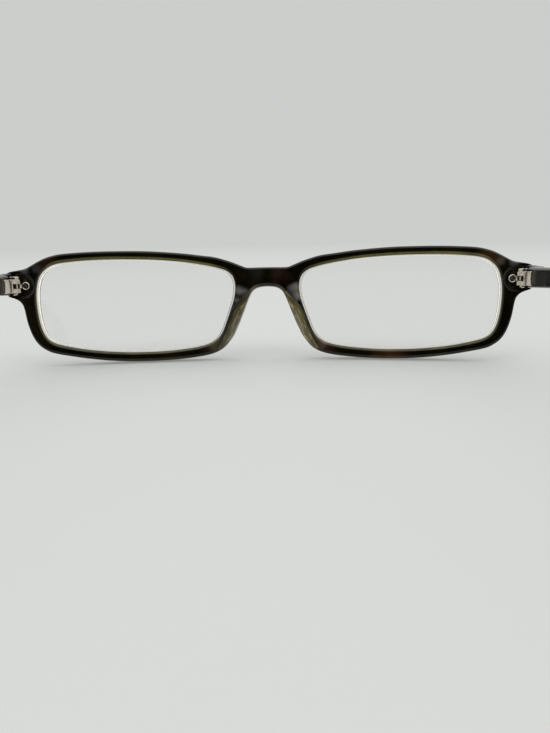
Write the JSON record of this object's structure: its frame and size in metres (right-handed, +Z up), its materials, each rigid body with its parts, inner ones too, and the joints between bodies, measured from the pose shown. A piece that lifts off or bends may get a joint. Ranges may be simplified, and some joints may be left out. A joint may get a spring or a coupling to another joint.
{
  "type": "rectangular eyeglasses",
  "caption": "Rectangular acetate eyeglasses with clear lenses, built-on nose pads and sprung hinges that fold and pull.",
  "frame": {"origin": "on the surface the glasses stand on, under the middle of their bounding box", "axes": "+X to the wearer's left, the front faces -Y and the temples run back along +Y, +Z up"},
  "size_m": [0.1358, 0.1454, 0.0303],
  "materials": {
    "acetate": "polished dark olive and brown acetate",
    "pad_acetate": "polished see-through olive acetate",
    "lens": "clear",
    "hinge_metal": "bright nickel silver",
    "screw_metal": "bright turned steel",
    "spring_steel": "drawn spring wire",
    "core_wire": "nickel silver wire"
  },
  "bodies": {
    "front": {"front_frame": "acetate", "lens_left": "lens", "lens_right": "lens", "nose_pad_left": "pad_acetate", "nose_pad_right": "pad_acetate", "hinge_leaf_left": "hinge_metal", "hinge_leaf_right": "hinge_metal", "leaf_eyelet_left": "screw_metal", "leaf_eyelet_right": "screw_metal"},
    "fork_left": {"hinge_fork_left": "hinge_metal", "hinge_screw_left": "screw_metal", "spring_collar_left": "hinge_metal"},
    "temple_left": {"temple_left": "acetate", "spring_housing_left": "hinge_metal", "flex_spring_left": "spring_steel", "temple_core_left": "core_wire"},
    "fork_right": {"hinge_fork_right": "hinge_metal", "hinge_screw_right": "screw_metal", "spring_collar_right": "hinge_metal"},
    "temple_right": {"temple_right": "acetate", "spring_housing_right": "hinge_metal", "flex_spring_right": "spring_steel", "temple_core_right": "core_wire"}
  },
  "joints": [
    {"name": "fold_left", "type": "hinge", "parent": "front", "child": "fork_left", "pos_m": [0.0641, -0.05784, 0.02182], "axis": [0, -0.0785, 0.9969], "range_deg": [0, 90]},
    {"name": "pull_left", "type": "slide", "parent": "fork_left", "child": "temple_left", "axis": [0, 0.9969, 0.0785], "range_m": [0, 0.00082], "stiffness_N_per_m": 400, "springref_m": -0.006},
    {"name": "fold_right", "type": "hinge", "parent": "front", "child": "fork_right", "pos_m": [-0.0641, -0.05784, 0.02182], "axis": [0, 0.0785, -0.9969], "range_deg": [0, 84]},
    {"name": "pull_right", "type": "slide", "parent": "fork_right", "child": "temple_right", "axis": [0, 0.9969, 0.0785], "range_m": [0, 0.00082], "stiffness_N_per_m": 400, "springref_m": -0.006}
  ]
}
